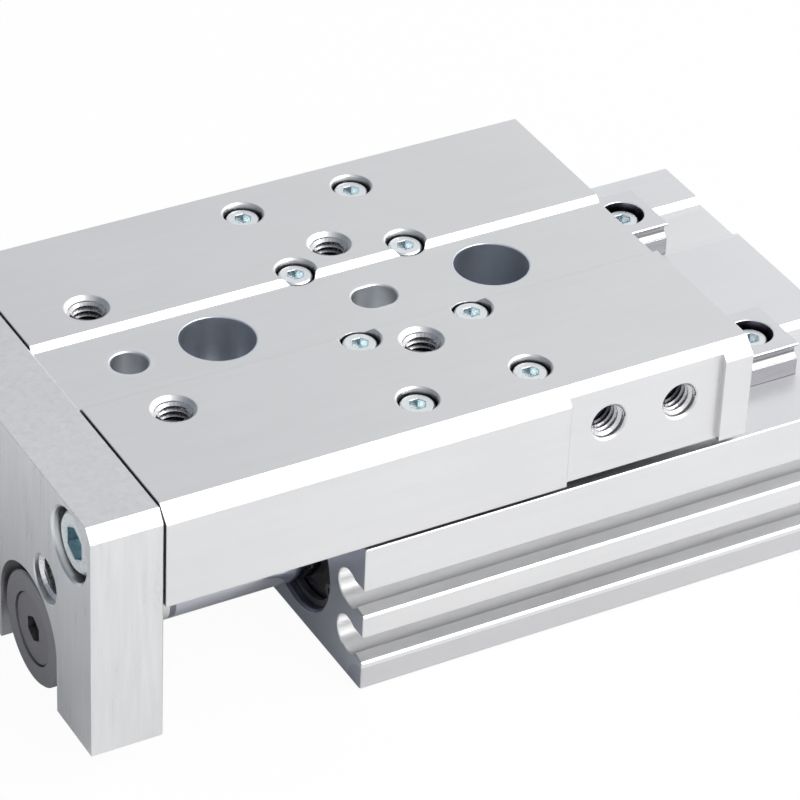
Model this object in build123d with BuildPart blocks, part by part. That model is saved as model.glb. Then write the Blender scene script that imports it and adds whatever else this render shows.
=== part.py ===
import math
import os

from build123d import *

# Pneumatic slide table: a body with two cylinders side by side, two linear guides on top of it, and a
# table with an end plate that the two piston rods push. Millimetres, +X to the rear, +Y to the far side,
# +Z up. The origin is the middle of the body's bottom face. The table stands where the photograph has it,
# most of the way out.

os.makedirs("parts", exist_ok=True)

# Body
body_length = 100.5
body_shoulder = 11.4
body_height = 27.3
body_top_edge = 0.15
body_bottom_edge = 0.7
body_end_edge = 0.15

# Cylinders
bore_spacing = 32.0
axis_drop = 0.55
bore_diameter = 16.0
recess_diameter = 20.0
recess_edge = 0.5
front_recess_depth = 5.0
rear_recess_depth = 5.2
rod_diameter = 9.0

# Travel of the table
stroke = 40.0
rest_extension = 33.5
retracted_gap = 1.3
stop_clearance = 0.3

# Linear guides
rail_spacing = 40.0
rail_width = 12.0
rail_height = 7.0
rail_length = 85.3
rail_setback = 0.5
rail_seat_depth = 1.0
rail_end_distance = 6.5
rail_hole_pitch = 24.5
rail_hole_count = 4
rail_thread_depth = 5.2
rail_counterbore = 7.2
rail_rim = 0.1
rail_head_sink = 1.1
ball_diameter = 2.38
ball_height = 5.35
carriage_width = 27.0
carriage_height = 13.0
carriage_foot = 3.0
block_length = 25.5
block_thread_depth = 5.0
cap_thickness = 2.8
seal_thickness = 0.5
balls_per_row = 9
return_channel_distance = 3.2
cap_screw_spread = 10.4
cap_screw_drop = 2.5
cap_screw_thread = 1.6
cap_screw_thread_length = 5.0
cap_screw_head = 3.0
cap_screw_head_height = 1.1
cap_screw_seat_depth = 1.3
cap_screw_slot_length = 2.2
cap_screw_slot_width = 0.5
cap_screw_slot_depth = 0.6

# Table
table_length = 102.7
table_wall = 5.0
table_thickness = 7.2
table_chamfer = 2.5
skirt_gap = 1.65
rib_width = 18.0
rail_headroom = 1.0
channel_width = 18.8
channel_depth = 1.0
carriage_centre = 57.45
top_thread_first = 12.9
top_thread_pitch = 43.0
top_thread_spacing = 30.5
access_first = 28.1
access_pitch = 49.2
access_diameter = 12.2
pin_diameter = 6.0
pin_slot_length = 7.5
pin_depth = 8.0
pin_edge = 0.2
recess_start = 69.6
recess_length = 28.05
recess_depth = 1.05
side_thread_first = 77.3
side_thread_pitch = 13.0
side_thread_drop = 8.3
side_thread_depth = 12.0
edge_break = 0.2
front_step_length = 0.32
front_step_depth = 0.96

# End plate
plate_thickness = 12.0
plate_inset = 0.1
plate_ground_gap = 4.7
plate_chamfer_across = 1.6
plate_chamfer_down = 2.2
plate_screw_spacing = 62.0
plate_screw_drop = 7.0
plate_counterbore = 11.8
plate_thread = 8.0
plate_thread_spacing = 44.8
plate_thread_height = 27.3
disc_diameter = 19.0
disc_thickness = 4.2
disc_recess = 0.6
disc_play = 0.75
slot_rise = 1.1
neck_diameter = 7.0
neck_play = 0.4
washer_diameter = 9.6
washer_thickness = 1.6

# Screws
m3_thread = 3.0
m3_head = 5.5
m3_head_height = 3.0
m3_key = 2.5
m5_thread = 5.0
m5_head = 12.0
m5_head_height = 2.6
m5_key = 4.0
m6_thread = 6.0
m6_head = 10.0
m6_head_height = 6.0
m6_key = 5.0
carriage_screw_length = 8.0
carriage_screw_spread = 18.4
carriage_screw_pitch = 20.0
rail_screw_length = 8.0
plate_screw_length = 16.0
rod_screw_length = 18.0
head_sink = 0.9
rod_head_sink = 0.25
m3_counterbore = 6.4
m6_counterbore = 11.0
m3_clearance_hole = 3.4
m6_clearance_hole = 6.6
m3_rim = 0.3
plate_rim = 0.35
thread_rim = 0.65
plate_thread_rim = 0.15
side_thread_rim = 0.35

# Body mounting: holes under the table's access holes when the table is in
bottom_thread = 8.0
bottom_thread_depth = 10.0
dowel_diameter = 5.0
dowel_slot_length = 6.5
dowel_depth = 6.0
dowel_end_distance = 10.0

# Air ports on the far side
port_thread = 5.0
port_depth = 7.0
port_rise = 9.8
passage_diameter = 4.2
front_port = 18.0
rear_port = 88.0

# Sensor grooves on both sides, seen from the side face
groove_heights = (16.8, 7.75)
groove_radius = 3.25
groove_centre_depth = 4.9
groove_mouth_up = 2.6
groove_mouth_down = 1.45
groove_lip_drop = 0.95
groove_lip = 0.3

# Clearances
seat_clearance = 0.05
running_clearance = 0.05
ball_clearance = 0.1
guide_clearance = 0.4

# Inside the cylinders, from the body's front face
cover_front = 2.8
cover_length = 11.2
bumper_thickness = 1.5
bumper_inside = 11.0
piston_length = 22.0
piston_diameter = 15.3
rod_stud_diameter = 6.0
nut_across_flats = 10.0
nut_height = 3.2
nut_pocket = 11.8
wiper_diameter = 14.0
wiper_length = 3.0
ring_thickness = 1.0
ring_groove_depth = 0.55
ring_width = 1.7
ring_opening = 40.0
ring_lug_radius = 1.5
ring_lug_hole = 0.7
seal_front = 5.0
seal_groove = 11.0
seal_length = 2.2
magnet_front = 9.4
magnet_groove = 10.0
magnet_length = 3.2
wear_front = 13.6
wear_groove = 13.4
wear_length = 2.0
cord_diameter = 1.6
cap_front = 79.9
cap_flange = 2.2
waist_diameter = 11.0
waist_length = 4.4
cap_passage = 3.0

# Sizes and places worked out from the ones above
body_width = rail_spacing + rail_width + 2 * body_shoulder
table_width = rail_spacing + carriage_width + 2 * table_wall
plate_width = table_width - 2 * plate_inset
skirt_thickness = table_wall - guide_clearance
front_x = -body_length / 2
rear_x = body_length / 2
plate_inner_x = front_x - retracted_gap - rest_extension
plate_outer_x = plate_inner_x - plate_thickness
axis_height = body_height / 2 - axis_drop
port_height = axis_height + port_rise
rail_base = body_height - rail_seat_depth
rail_top = rail_base + rail_height
ball_centre_z = rail_base + ball_height
block_top = rail_base + carriage_height
block_foot = rail_base + carriage_foot
table_top = block_top + table_thickness
skirt_bottom = body_height + skirt_gap
channel_ceiling = rail_top + rail_headroom
channel_floor = table_top - channel_depth
rail_front_x = front_x + rail_setback
carriage_x = plate_inner_x + carriage_centre
carriage_length = block_length + 2 * (cap_thickness + seal_thickness)
ball_offset = rail_width / 2 + guide_clearance / 2
ball_groove_radius = ball_diameter / 2 + ball_clearance
piston_front_x = front_x + cover_front + cover_length + bumper_thickness + stop_clearance
piston_front_x += stroke - rest_extension
mount_first_x = front_x + access_first + rest_extension - (front_x - plate_inner_x)
hex_ratio = 2 / math.sqrt(3)
sides = {"near": -1, "far": 1}


# Writes one finished piece under its node name
def finish(piece, name):
    piece.part.label = name
    export_step(piece.part, f"parts/{name}.step")


# Socket head screw with its seat at z = 0, head up
def cap_screw(thread, head, height, key, length, head_edge=0.25):
    with BuildPart() as screw:
        with BuildSketch():
            Circle(head / 2)
        extrude(amount=height)
        chamfer(screw.edges().group_by(Axis.Z)[-1], head_edge)
        with BuildSketch(Plane.XY.offset(height)):
            RegularPolygon(key / 2 * hex_ratio, 6)
        extrude(amount=-height / 2, mode=Mode.SUBTRACT)
        with BuildSketch():
            Circle(thread / 2)
        extrude(amount=-length)
        chamfer(screw.edges().group_by(Axis.Z)[0], thread / 12)
    return screw.part


# Body: an extruded section with sensor grooves in its sides and seats for the rails on top
with BuildPart() as body:
    with BuildSketch(Plane.YZ.offset(front_x)) as body_section:
        with Locations((0, body_height / 2)):
            Rectangle(body_width, body_height)
        chamfer(body_section.vertices().group_by(Axis.Y)[-1], body_top_edge)
        fillet(body_section.vertices().group_by(Axis.Y)[0], body_bottom_edge)
        for side in sides.values():
            face_y = side * body_width / 2
            for height in groove_heights:
                with Locations((face_y - side * groove_centre_depth, height)):
                    Circle(groove_radius, mode=Mode.SUBTRACT)
                with BuildLine():
                    Polyline(
                        (face_y - side * groove_centre_depth, height + groove_mouth_up),
                        (face_y, height + groove_mouth_up),
                        (face_y, height - groove_mouth_down - groove_lip_drop - groove_lip),
                        (face_y - side * groove_lip, height - groove_mouth_down - groove_lip_drop),
                        (face_y - side * groove_centre_depth, height - groove_mouth_down),
                        close=True,
                    )
                make_face(mode=Mode.SUBTRACT)
        # Each rail stands against the upright near wall of its seat; the far wall slopes
        for side in sides.values():
            rail_y = side * rail_spacing / 2
            seat_half = rail_width / 2 + seat_clearance
            with BuildLine():
                Polyline(
                    (rail_y - seat_half, body_height),
                    (rail_y - seat_half, rail_base),
                    (rail_y + seat_half, rail_base),
                    (rail_y + seat_half + rail_seat_depth, body_height),
                    close=True,
                )
            make_face(mode=Mode.SUBTRACT)
    extrude(amount=body_length)
    # Cylinder bores, wider at both ends for the covers and their rings
    for side in sides.values():
        bore_y = side * bore_spacing / 2
        with Locations(Plane(origin=(front_x, bore_y, axis_height), z_dir=(-1, 0, 0))):
            CounterBoreHole(bore_diameter / 2, recess_diameter / 2, front_recess_depth)
        with Locations(Plane(origin=(rear_x, bore_y, axis_height), z_dir=(1, 0, 0))):
            Hole(recess_diameter / 2, rear_recess_depth)
        ring_starts = (
            front_x + cover_front - 1.3 * ring_thickness,
            rear_x - rear_recess_depth + cap_flange + 0.3 * ring_thickness,
        )
        for ring_x in ring_starts:
            with BuildSketch(Plane.YZ.offset(ring_x)):
                with Locations((bore_y, axis_height)):
                    Circle(recess_diameter / 2 + ring_groove_depth)
            extrude(amount=1.2 * ring_thickness, mode=Mode.SUBTRACT)
    mouths = body.edges().filter_by(GeomType.CIRCLE).filter_by(
        lambda edge: abs(edge.radius - recess_diameter / 2) < 0.01
        and abs(abs(edge.center().X) - body_length / 2) < 0.01
    )
    chamfer(mouths, recess_edge)
    # Broken edges round both ends of the section
    for end_face in (body.faces().sort_by(Axis.X)[0], body.faces().sort_by(Axis.X)[-1]):
        chamfer(end_face.outer_wire().edges(), body_end_edge)
    # Threads for the rail screws
    for side in sides.values():
        for number in range(rail_hole_count):
            hole_x = rail_front_x + rail_end_distance + number * rail_hole_pitch
            with Locations((hole_x, side * rail_spacing / 2, rail_base)):
                Hole(m3_thread / 2 + seat_clearance, rail_thread_depth)
    # Mounting holes on the centre line, bolted from above or threaded from below
    for number in range(2):
        hole_x = mount_first_x + number * access_pitch
        with Locations((hole_x, 0, body_height)):
            CounterBoreHole(m6_clearance_hole / 2, m6_counterbore / 2, m6_head_height + head_sink)
        with Locations(Plane(origin=(hole_x, 0, 0), z_dir=(0, 0, -1))):
            CounterSinkHole(bottom_thread / 2, bottom_thread / 2 + thread_rim, bottom_thread_depth, 90)
    # Dowel hole and slot in the bottom
    with Locations(Plane(origin=(front_x + dowel_end_distance, 0, 0), z_dir=(0, 0, -1))):
        Hole(dowel_diameter / 2, dowel_depth)
    with BuildSketch(Plane.XY):
        with Locations((rear_x - dowel_end_distance, 0)):
            SlotOverall(dowel_slot_length, dowel_diameter)
    extrude(amount=dowel_depth, mode=Mode.SUBTRACT)
    # Air ports on the far side; each passage crosses both cylinders
    for port in (front_port, rear_port):
        with Locations(Plane(origin=(front_x + port, body_width / 2, port_height), z_dir=(0, 1, 0))):
            Hole(port_thread / 2, port_depth)
            Hole(passage_diameter / 2, body_width / 2 + bore_spacing / 2 + passage_diameter / 2)
finish(body, "body")


# Rails: counterbored bars with a ball groove along each side
rail_screw_places = []
for name, side in sides.items():
    rail_y = side * rail_spacing / 2
    with BuildPart() as rail:
        with BuildSketch(Plane.YZ.offset(rail_front_x)) as rail_section:
            with Locations((rail_y, rail_base + rail_height / 2)):
                Rectangle(rail_width, rail_height)
            chamfer(rail_section.vertices(), 0.15)
            with Locations((rail_y - ball_offset, ball_centre_z), (rail_y + ball_offset, ball_centre_z)):
                Circle(ball_groove_radius, mode=Mode.SUBTRACT)
        extrude(amount=rail_length)
        places = []
        for number in range(rail_hole_count):
            hole_x = rail_front_x + rail_end_distance + number * rail_hole_pitch
            places.append((hole_x, rail_y, rail_top))
        with Locations(*places):
            CounterBoreHole(m3_clearance_hole / 2, rail_counterbore / 2, m3_head_height + rail_head_sink)
        rims = rail.edges().filter_by(GeomType.CIRCLE).group_by(Axis.Z)[-1]
        chamfer(rims, rail_rim)
    finish(rail, f"guide_rail_{name}")
    rail_screw_places += [(x, y, z - rail_head_sink - m3_head_height) for x, y, z in places]

m3_rail_screw = cap_screw(m3_thread, m3_head, m3_head_height, m3_key, rail_screw_length)
with BuildPart() as rail_screws:
    with Locations(*rail_screw_places):
        add(m3_rail_screw)
finish(rail_screws, "rail_screws")


# Table: plate with side skirts, a rib down the middle and a shallow channel along its top
with BuildPart() as table:
    with BuildSketch(Plane.YZ.offset(plate_inner_x)):
        with BuildLine():
            Polyline(
                (0, channel_floor),
                (channel_width / 2 - channel_depth, channel_floor),
                (channel_width / 2, table_top),
                (table_width / 2 - table_chamfer, table_top),
                (table_width / 2, table_top - table_chamfer),
                (table_width / 2, skirt_bottom),
                (table_width / 2 - skirt_thickness, skirt_bottom),
                (table_width / 2 - skirt_thickness, channel_ceiling),
                (rib_width / 2, channel_ceiling),
                (rib_width / 2, skirt_bottom),
                (0, skirt_bottom),
            )
            mirror(about=Plane.YZ)
        make_face()
    extrude(amount=table_length)
    front_edges = table.edges().group_by(Axis.X)[0].filter_by(
        lambda edge: edge.center().Z > table_top - table_chamfer - 0.1
    )
    chamfer(front_edges, edge_break)
    # Shallow step round the front end, so that the end plate bears only inside it
    with BuildSketch(Plane.YZ.offset(plate_inner_x)):
        with Locations((0, skirt_bottom)):
            Rectangle(table_width, table_top - skirt_bottom, align=(Align.CENTER, Align.MIN))
        with BuildLine():
            Polyline(
                (0, table_top - front_step_depth),
                (table_width / 2 - table_chamfer, table_top - front_step_depth),
                (table_width / 2 - front_step_depth, table_top - table_chamfer),
                (table_width / 2 - front_step_depth, skirt_bottom),
                (0, skirt_bottom),
            )
            mirror(about=Plane.YZ)
        make_face(mode=Mode.SUBTRACT)
    extrude(amount=front_step_length, mode=Mode.SUBTRACT)
    # Seats for the carriages, up to the carriage tops
    for side in sides.values():
        with BuildSketch(Plane.XY.offset(skirt_bottom)):
            with Locations((carriage_x, side * rail_spacing / 2)):
                Rectangle(carriage_length + guide_clearance, carriage_width + 2 * guide_clearance)
        extrude(amount=block_top - skirt_bottom, mode=Mode.SUBTRACT)
    # Milled recess and its two threads, where a stroke adjuster would be screwed on
    with BuildSketch(Plane.XY.offset(skirt_bottom)):
        with Locations((plate_inner_x + recess_start, -table_width / 2)):
            Rectangle(recess_length, recess_depth, align=(Align.MIN, Align.MIN))
    extrude(amount=table_top - skirt_bottom, mode=Mode.SUBTRACT)
    for number in range(2):
        hole_x = plate_inner_x + side_thread_first + number * side_thread_pitch
        hole = (hole_x, recess_depth - table_width / 2, table_top - side_thread_drop)
        with Locations(Plane(origin=hole, z_dir=(0, -1, 0))):
            CounterSinkHole(m6_thread / 2, m6_thread / 2 + side_thread_rim, side_thread_depth, 90)
    # Work mounting threads
    for number in range(2):
        hole_x = plate_inner_x + top_thread_first + number * top_thread_pitch
        for side in sides.values():
            with Locations((hole_x, side * top_thread_spacing / 2, table_top)):
                CounterSinkHole(m6_thread / 2, m6_thread / 2 + thread_rim, table_top - block_foot, 90)
    # Access holes over the body's mounting holes
    with Locations(*[(plate_inner_x + access_first + n * access_pitch, 0, channel_floor) for n in range(2)]):
        CounterSinkHole(access_diameter / 2, access_diameter / 2 + edge_break / 2, table_top, 90)
    # Round and slotted dowel holes
    with Locations((plate_inner_x + top_thread_first, 0, channel_floor)):
        CounterSinkHole(pin_diameter / 2, pin_diameter / 2 + pin_edge, pin_depth, 90)
    with BuildSketch(Plane.XY.offset(channel_floor)):
        with Locations((plate_inner_x + top_thread_first + top_thread_pitch, 0)):
            SlotOverall(pin_slot_length, pin_diameter)
    extrude(amount=-pin_depth, mode=Mode.SUBTRACT)
    slot_rim = table.edges().filter_by(
        lambda edge: abs(edge.center().Z - channel_floor) < 0.01
        and abs(edge.center().Y) < pin_diameter / 2 + 0.01
        and abs(edge.center().X - plate_inner_x - top_thread_first - top_thread_pitch) < pin_slot_length
    )
    chamfer(slot_rim, pin_edge)
    # Counterbored holes for the screws that hold the carriages
    carriage_screw_places = []
    for side in sides.values():
        for across in (-carriage_screw_spread / 2, carriage_screw_spread / 2):
            for along in (-carriage_screw_pitch / 2, carriage_screw_pitch / 2):
                place = (carriage_x + along, side * rail_spacing / 2 + across, table_top)
                carriage_screw_places.append(place)
    with Locations(*carriage_screw_places):
        CounterBoreHole(m3_clearance_hole / 2, m3_counterbore / 2, m3_head_height + head_sink)
    carriage_rims = table.edges().filter_by(GeomType.CIRCLE).filter_by(
        lambda edge: abs(edge.radius - m3_counterbore / 2) < 0.01 and edge.center().Z > table_top - 0.01
    )
    chamfer(carriage_rims, m3_rim)
    # Threads for the end plate's screws
    for side in sides.values():
        hole = (plate_inner_x, side * plate_screw_spacing / 2, table_top - plate_screw_drop)
        with Locations(Plane(origin=hole, z_dir=(-1, 0, 0))):
            Hole(m6_thread / 2 + seat_clearance, plate_screw_length)
finish(table, "table")


# End plate: two slots, open at the bottom, take the discs on the piston rods
disc_pocket = disc_recess + disc_thickness + 0.1
with BuildPart() as end_plate:
    with BuildSketch(Plane.YZ.offset(plate_outer_x)):
        with BuildLine():
            Polyline(
                (0, table_top),
                (plate_width / 2 - plate_chamfer_across, table_top),
                (plate_width / 2, table_top - plate_chamfer_down),
                (plate_width / 2, plate_ground_gap),
                (0, plate_ground_gap),
            )
            mirror(about=Plane.YZ)
        make_face()
    extrude(amount=plate_thickness)
    rear_edges = end_plate.edges().group_by(Axis.X)[-1].filter_by(
        lambda edge: edge.center().Z > plate_ground_gap + 0.1
    )
    chamfer(rear_edges, edge_break)
    cuts = (
        (disc_diameter / 2 + disc_play, disc_pocket),
        (neck_diameter / 2 + neck_play, plate_thickness),
    )
    for side in sides.values():
        slot_y = side * bore_spacing / 2
        for radius, depth in cuts:
            with BuildSketch(Plane.YZ.offset(plate_outer_x)):
                with Locations((slot_y, axis_height + slot_rise)):
                    Circle(radius)
                    Rectangle(2 * radius, axis_height + slot_rise, align=(Align.CENTER, Align.MAX))
            extrude(amount=depth, mode=Mode.SUBTRACT)
        screw_hole = (plate_outer_x, side * plate_screw_spacing / 2, table_top - plate_screw_drop)
        with Locations(Plane(origin=screw_hole, z_dir=(-1, 0, 0))):
            CounterBoreHole(m6_clearance_hole / 2, plate_counterbore / 2, m6_head_height + head_sink)
        thread_hole = (plate_outer_x, side * plate_thread_spacing / 2, plate_thread_height)
        with Locations(Plane(origin=thread_hole, z_dir=(-1, 0, 0))):
            CounterSinkHole(plate_thread / 2, plate_thread / 2 + plate_thread_rim, plate_thickness, 90)
    plate_rims = end_plate.edges().filter_by(GeomType.CIRCLE).filter_by(
        lambda edge: abs(edge.radius - plate_counterbore / 2) < 0.01
        and abs(edge.center().X - plate_outer_x) < 0.01
    )
    chamfer(plate_rims, plate_rim)
finish(end_plate, "end_plate")

m3_carriage_screw = cap_screw(m3_thread, m3_head, m3_head_height, m3_key, carriage_screw_length)
with BuildPart() as carriage_screws:
    with Locations(*[(x, y, z - head_sink - m3_head_height) for x, y, z in carriage_screw_places]):
        add(m3_carriage_screw)
finish(carriage_screws, "carriage_screws")

m6_plate_screw = cap_screw(m6_thread, m6_head, m6_head_height, m6_key, plate_screw_length - 1, 0.5)
plate_seat_x = plate_outer_x + head_sink + m6_head_height
facing_front = (0, -90, 0)
with BuildPart() as end_plate_screws:
    for side in sides.values():
        seat = (plate_seat_x, side * plate_screw_spacing / 2, table_top - plate_screw_drop)
        with Locations(Location(seat, facing_front)):
            add(m6_plate_screw)
finish(end_plate_screws, "end_plate_screws")


# Carriages: a hardened block, two plastic caps that turn the balls round, and a seal at each end
opening_half = rail_width / 2 + guide_clearance
opening_top = rail_top + 0.6
return_offset = ball_offset + return_channel_distance
cap_screw_height = block_top - cap_screw_drop
carriage_parts = {
    # name: length, shrink of the outline, distance of its middle from the carriage's middle
    "carriage_block": (block_length, 0.0, (0.0,)),
    "carriage_caps": (cap_thickness, 0.2, (-1.0, 1.0)),
    "carriage_seals": (seal_thickness, 0.4, (-1.0, 1.0)),
}
carriage_distance = {
    "carriage_block": 0.0,
    "carriage_caps": (block_length + cap_thickness) / 2,
    "carriage_seals": (block_length + seal_thickness) / 2 + cap_thickness,
}
for name, side in sides.items():
    guide_y = side * rail_spacing / 2
    for kind, (length, shrink, ends) in carriage_parts.items():
        with BuildPart() as piece:
            for end in ends:
                middle_x = carriage_x + end * carriage_distance[kind]
                outline_height = block_top - block_foot - shrink
                with BuildSketch(Plane.YZ.offset(middle_x - length / 2)) as outline:
                    with Locations((guide_y, block_foot + outline_height / 2)):
                        Rectangle(carriage_width - 2 * shrink, outline_height)
                    fillet(outline.vertices(), 0.6)
                    with Locations((guide_y, block_foot)):
                        Rectangle(
                            2 * opening_half,
                            2 * (opening_top - block_foot),
                            mode=Mode.SUBTRACT,
                        )
                    if kind == "carriage_block":
                        with Locations(
                            (guide_y - ball_offset, ball_centre_z), (guide_y + ball_offset, ball_centre_z)
                        ):
                            Circle(ball_groove_radius, mode=Mode.SUBTRACT)
                        with Locations(
                            (guide_y - return_offset, ball_centre_z), (guide_y + return_offset, ball_centre_z)
                        ):
                            Circle(ball_groove_radius, mode=Mode.SUBTRACT)
                    if kind == "carriage_seals":
                        # Lips that reach into the rail's ball grooves
                        with Locations(
                            (guide_y - ball_offset, ball_centre_z), (guide_y + ball_offset, ball_centre_z)
                        ):
                            Circle(ball_diameter / 2 - 0.3)
                extrude(amount=length)
            if kind == "carriage_block":
                for place in carriage_screw_places:
                    if place[1] * side > 0:
                        with Locations((place[0], place[1], block_top)):
                            Hole(m3_thread / 2 + seat_clearance, block_thread_depth)
                for end in (-1, 1):
                    for across in (-cap_screw_spread / 2, cap_screw_spread / 2):
                        face = (carriage_x + end * block_length / 2, guide_y + across, cap_screw_height)
                        with Locations(Plane(origin=face, z_dir=(end, 0, 0))):
                            Hole(cap_screw_thread / 2 + seat_clearance, cap_screw_thread_length - 1)
            if kind == "carriage_caps":
                for end in (-1, 1):
                    for across in (-cap_screw_spread / 2, cap_screw_spread / 2):
                        face_x = carriage_x + end * (block_length / 2 + cap_thickness)
                        face = (face_x, guide_y + across, cap_screw_height)
                        with Locations(Plane(origin=face, z_dir=(end, 0, 0))):
                            CounterBoreHole(
                                cap_screw_thread / 2 + 2 * seat_clearance,
                                cap_screw_head / 2 + 2 * seat_clearance,
                                cap_screw_seat_depth,
                            )
            if kind == "carriage_seals":
                for end in (-1, 1):
                    for across in (-cap_screw_spread / 2, cap_screw_spread / 2):
                        face = (carriage_x + end * carriage_length / 2, guide_y + across, cap_screw_height)
                        with Locations(Plane(origin=face, z_dir=(end, 0, 0))):
                            Hole(cap_screw_head / 2 + 2 * seat_clearance, seal_thickness)
        finish(piece, f"{kind}_{name}")
    with BuildPart() as balls:
        first_ball = -(balls_per_row - 1) / 2
        for number in range(balls_per_row):
            ball_x = carriage_x + (first_ball + number) * (block_length - ball_diameter) / balls_per_row
            with Locations(
                (ball_x, guide_y - ball_offset, ball_centre_z), (ball_x, guide_y + ball_offset, ball_centre_z)
            ):
                Sphere(ball_diameter / 2)
    finish(balls, f"bearing_balls_{name}")

with BuildPart() as small_screw:
    with BuildSketch():
        Circle(cap_screw_head / 2)
    extrude(amount=cap_screw_head_height)
    with BuildSketch(Plane.XY.offset(cap_screw_head_height)):
        Rectangle(cap_screw_slot_length, cap_screw_slot_width)
        Rectangle(cap_screw_slot_width, cap_screw_slot_length)
    extrude(amount=-cap_screw_slot_depth, mode=Mode.SUBTRACT)
    with BuildSketch():
        Circle(cap_screw_thread / 2)
    extrude(amount=-cap_screw_thread_length)
with BuildPart() as carriage_cap_screws:
    for side in sides.values():
        for end in (-1, 1):
            for across in (-cap_screw_spread / 2, cap_screw_spread / 2):
                seat_x = carriage_x + end * (block_length / 2 + cap_thickness - cap_screw_seat_depth)
                seat = (seat_x, side * rail_spacing / 2 + across, cap_screw_height)
                with Locations(Location(seat, (0, 90 * end, 0))):
                    add(small_screw.part)
finish(carriage_cap_screws, "carriage_cap_screws")


# A ring about a cylinder's axis, with a plain rectangular section; a cut one makes a groove
def ring(start_x, length, outer, inner, side, mode=Mode.ADD):
    with BuildSketch(Plane.YZ.offset(start_x)) as section:
        with Locations((side * bore_spacing / 2, axis_height)):
            Circle(outer / 2)
            Circle(inner / 2, mode=Mode.SUBTRACT)
    extrude(section.sketch, amount=length, mode=mode)


# A solid bar about a cylinder's axis; mode says whether it is added or cut
def bar(start_x, length, diameter, side, mode=Mode.ADD):
    with BuildSketch(Plane.YZ.offset(start_x)) as section:
        with Locations((side * bore_spacing / 2, axis_height)):
            Circle(diameter / 2)
    extrude(section.sketch, amount=length, mode=mode)


cover_x = front_x + cover_front
cover_shoulder_x = front_x + front_recess_depth
cover_end_x = cover_x + cover_length
cap_x = front_x + cap_front
cap_shoulder_x = rear_x - rear_recess_depth
waist_x = front_x + rear_port - waist_length / 2
nose_diameter = bore_diameter - 2 * seat_clearance
flange_diameter = recess_diameter - 2 * seat_clearance
cord_groove = bore_diameter - 2 * cord_diameter
cord_width = 1.3 * cord_diameter
cover_cord_x = (cover_shoulder_x + cover_end_x) / 2
cap_cord_xs = ((cap_x + waist_x) / 2, (waist_x + waist_length + cap_shoulder_x) / 2)
boss_end_x = plate_inner_x + 0.1
rod_front_x = boss_end_x + washer_thickness
disc_face_x = plate_outer_x + disc_recess
piston_rear_x = piston_front_x + piston_length
front_seal_x = piston_front_x + seal_front
magnet_x = piston_front_x + magnet_front
wear_ring_x = piston_front_x + wear_front

for name, side in sides.items():
    # Cover that closes the front of the cylinder and guides the rod
    with BuildPart() as rod_cover:
        bar(cover_x, cover_shoulder_x - cover_x, flange_diameter, side)
        bar(cover_shoulder_x, cover_end_x - cover_shoulder_x, nose_diameter, side)
        bar(cover_x, cover_length, rod_diameter + 2 * running_clearance, side, Mode.SUBTRACT)
        bar(cover_x, wiper_length, wiper_diameter, side, Mode.SUBTRACT)
        cord_start = cover_cord_x - cord_width / 2
        ring(cord_start, cord_width, bore_diameter, cord_groove, side, Mode.SUBTRACT)
    finish(rod_cover, f"rod_cover_{name}")

    # Plug that closes the rear, with a waist that takes air to the chamber through its middle
    with BuildPart() as head_cap:
        bar(cap_x, cap_shoulder_x - cap_x, nose_diameter, side)
        bar(cap_shoulder_x, cap_flange, flange_diameter, side)
        bar(cap_x, waist_x + waist_length / 2 - cap_x, cap_passage, side, Mode.SUBTRACT)
        ring(waist_x, waist_length, bore_diameter, waist_diameter, side, Mode.SUBTRACT)
        with BuildSketch(Plane.XY.offset(axis_height)):
            with Locations((waist_x + waist_length / 2, side * bore_spacing / 2)):
                Circle(cap_passage / 2)
        extrude(amount=bore_diameter / 2, mode=Mode.SUBTRACT)
        for cord_x in cap_cord_xs:
            cord_start = cord_x - cord_width / 2
            ring(cord_start, cord_width, bore_diameter, cord_groove, side, Mode.SUBTRACT)
    finish(head_cap, f"head_cap_{name}")

    # Piston rod: ground bar, threaded in front, with a stud behind for the piston
    with BuildPart() as rod:
        bar(rod_front_x, piston_front_x - rod_front_x, rod_diameter, side)
        bar(piston_front_x, piston_length - 0.2, rod_stud_diameter, side)
        chamfer(rod.edges().group_by(Axis.X)[0], 0.4)
        bar(rod_front_x, rod_screw_length, m5_thread + 2 * seat_clearance, side, Mode.SUBTRACT)
    finish(rod, f"piston_rod_{name}")

    # Piston with grooves for two seals, a magnet and a wear ring, and a pocket for its nut
    with BuildPart() as piston:
        bar(piston_front_x, piston_length, piston_diameter, side)
        bar(piston_front_x, piston_length, rod_stud_diameter + 2 * seat_clearance, side, Mode.SUBTRACT)
        bar(piston_rear_x - nut_height - 0.4, nut_height + 0.4, nut_pocket, side, Mode.SUBTRACT)
        grooves = (
            (front_seal_x, seal_length, seal_groove),
            (magnet_x, magnet_length, magnet_groove),
            (wear_ring_x, wear_length, wear_groove),
        )
        for groove_x, length, groove in grooves:
            ring(groove_x, length, bore_diameter, groove, side, Mode.SUBTRACT)
        chamfer(piston.edges().group_by(Axis.X)[0].filter_by(GeomType.CIRCLE), 0.3)
    finish(piston, f"piston_{name}")

    # Disc on the rod's end: its flange bears on the plate in front, its boss reaches through the slot
    with BuildPart() as disc:
        bar(disc_face_x, disc_thickness, disc_diameter, side)
        chamfer(disc.edges().group_by(Axis.X)[0], 0.3)
        bar(disc_face_x + disc_thickness, boss_end_x - disc_face_x - disc_thickness, neck_diameter, side)
        bar(disc_face_x, boss_end_x - disc_face_x, m5_thread + 4 * seat_clearance, side, Mode.SUBTRACT)
        bar(disc_face_x, m5_head_height + rod_head_sink, m5_head + 4 * seat_clearance, side, Mode.SUBTRACT)
    finish(disc, f"rod_disc_{name}")

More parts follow.
